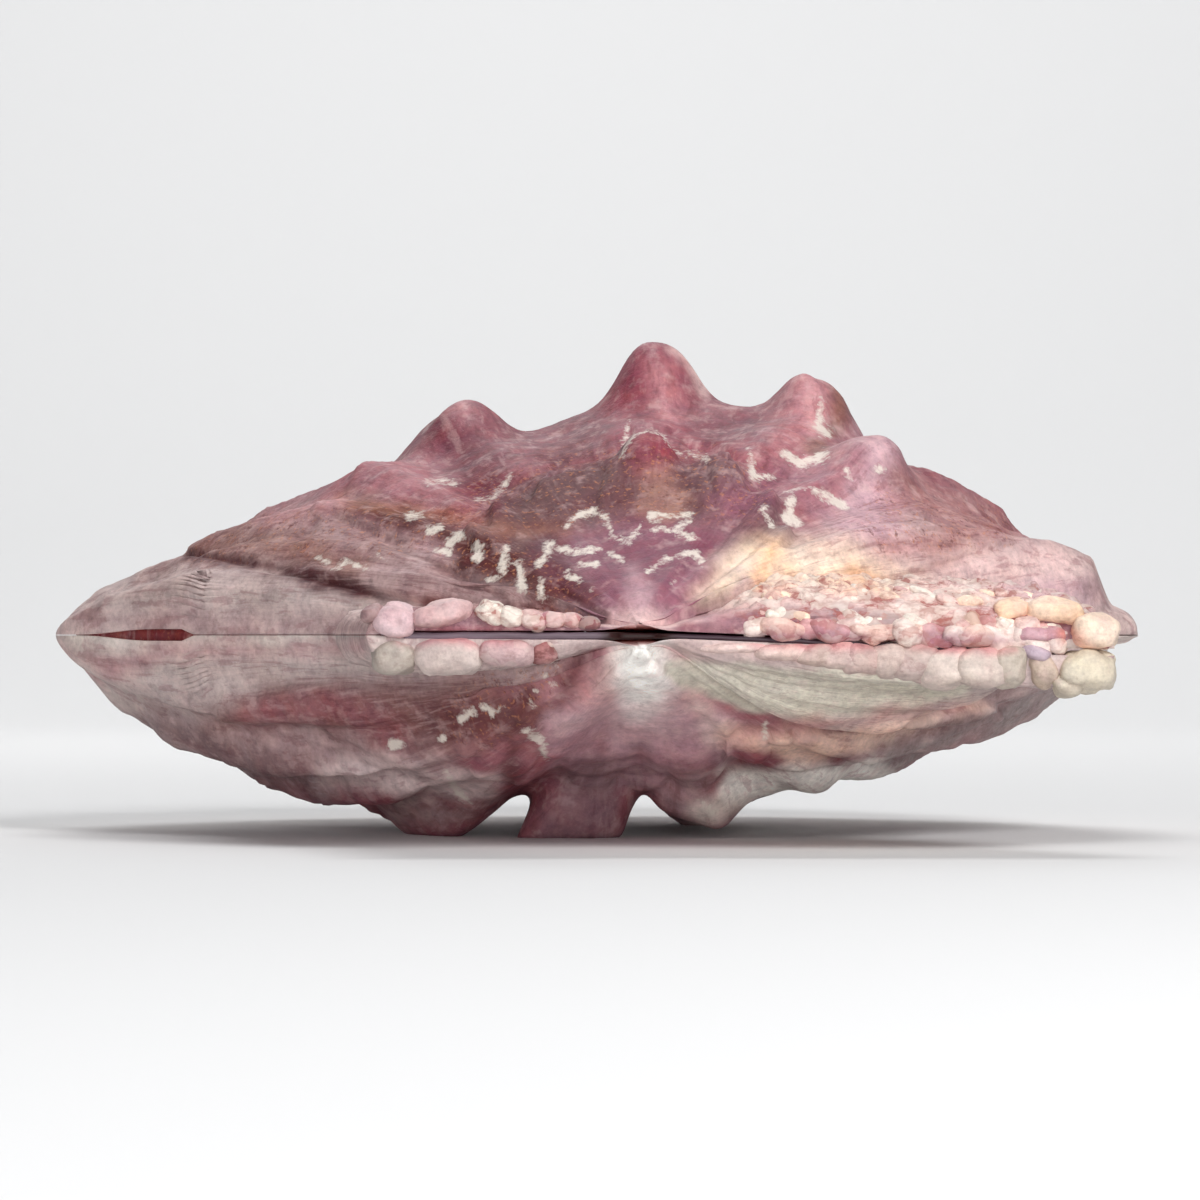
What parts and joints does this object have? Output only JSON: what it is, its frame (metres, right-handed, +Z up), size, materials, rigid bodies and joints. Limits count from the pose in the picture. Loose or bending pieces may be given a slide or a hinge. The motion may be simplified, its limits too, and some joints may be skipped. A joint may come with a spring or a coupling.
{
  "type": "scallop shell",
  "caption": "Large knobbly scallop shell with both valves closed, lying on its lower valve, with unequal ears at the hinge.",
  "frame": {"origin": "middle of the shell's box, on the surface that it lies on", "axes": "+X along the hinge line towards the longer front ear, +Y from the hinge to the free margin, +Z up through the knobbly upper valve"},
  "size_m": [0.125, 0.1226, 0.0572],
  "materials": {
    "upper_shell": "dull satin shell lime, rose purple on the knobs, brown mottling, cream marks, pale flanks with fine ribs",
    "lower_shell": "dull satin shell lime, mauve pink with a white patch under the beak, and whitish finely ribbed flanks",
    "ligament": "dry horny ligament, lilac grey to dark purple brown, dull"
  },
  "bodies": {
    "root": {"left_valve": "upper_shell", "right_valve": "lower_shell", "hinge_ligament": "ligament"}
  },
  "joints": []
}
